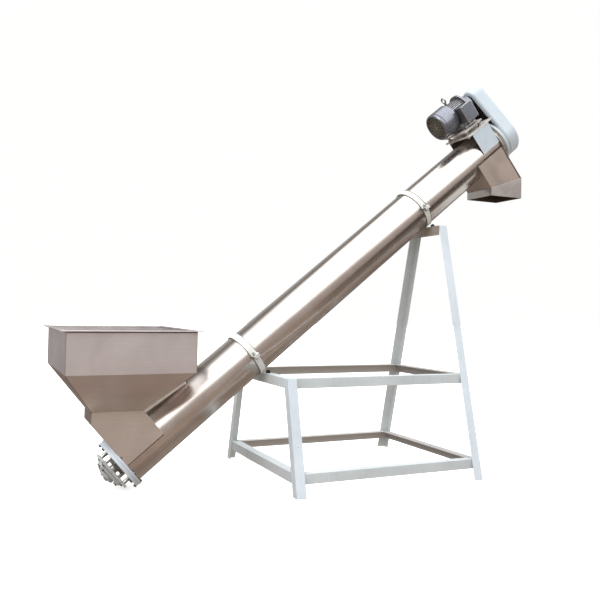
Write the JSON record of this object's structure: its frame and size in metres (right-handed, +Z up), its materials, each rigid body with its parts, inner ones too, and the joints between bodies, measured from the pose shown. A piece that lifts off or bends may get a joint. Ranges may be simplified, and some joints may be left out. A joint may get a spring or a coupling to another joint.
{
  "type": "inclined shaftless screw conveyor",
  "caption": "Inclined stainless tube conveyor with a spiral inside, feed hopper below, discharge chute above, belt drive with motor, on a splayed angle-iron stand.",
  "frame": {"origin": "on the floor, under the middle of the machine's length and width", "axes": "+X from the feed hopper towards the discharge end, +Y to the back of the picture, +Z up"},
  "size_m": [2.4466, 0.9712, 2.0741],
  "materials": {
    "stainless_sheet": "satin stainless sheet",
    "polished_tube": "polished stainless tube",
    "spiral_steel": "worn spiral bar",
    "zinc_steel": "zinc-plated",
    "cast_grey": "grey-painted casting",
    "white_paint": "satin white paint",
    "pale_blue_paint": "satin pale blue-white paint",
    "motor_paint": "dark grey-blue motor enamel"
  },
  "bodies": {
    "root": {"conveyor_tube": "polished_tube", "screw_flight": "spiral_steel", "screw_drive_shaft": "zinc_steel", "lower_tube_flange": "white_paint", "lower_end_cover": "white_paint", "lower_shaft_gland": "cast_grey", "bearing_standoff_1": "zinc_steel", "bearing_standoff_2": "zinc_steel", "bearing_standoff_3": "zinc_steel", "bearing_standoff_4": "zinc_steel", "lower_bearing_plate": "white_paint", "lower_bearing_base": "cast_grey", "lower_bearing_nose": "cast_grey", "lower_stub_shaft": "zinc_steel", "hopper_rim": "stainless_sheet", "hopper_box": "stainless_sheet", "hopper_taper": "stainless_sheet", "hopper_neck": "stainless_sheet", "discharge_chute": "stainless_sheet", "lower_clamp_top_half": "white_paint", "lower_clamp_bottom_half": "white_paint", "upper_clamp_top_half": "white_paint", "upper_clamp_bottom_half": "white_paint", "leg_front_left": "white_paint", "leg_front_right": "white_paint", "leg_back_left": "white_paint", "leg_back_right": "white_paint", "lower_ring_front_beam": "white_paint", "lower_ring_right_beam": "white_paint", "lower_ring_back_beam": "white_paint", "lower_ring_left_beam": "white_paint", "mid_ring_front_beam": "white_paint", "mid_ring_right_beam": "white_paint", "mid_ring_back_beam": "white_paint", "mid_ring_left_beam": "white_paint", "top_crossbar": "white_paint", "upper_tube_flange": "stainless_sheet", "upper_end_cover": "white_paint", "upper_bearing_housing": "cast_grey", "belt_guard": "pale_blue_paint", "motor_bracket_front": "white_paint", "motor_bracket_back": "white_paint", "motor_mount_lower_plate": "white_paint", "motor_mount_upper_plate": "white_paint", "mount_stud_1": "zinc_steel", "mount_stud_2": "zinc_steel", "mount_stud_3": "zinc_steel", "mount_stud_4": "zinc_steel", "motor_fan_cowl": "motor_paint", "motor_body": "motor_paint", "motor_end_shield": "motor_paint", "motor_shaft_end": "zinc_steel", "terminal_box": "motor_paint", "motor_lifting_eye": "zinc_steel"}
  },
  "joints": []
}
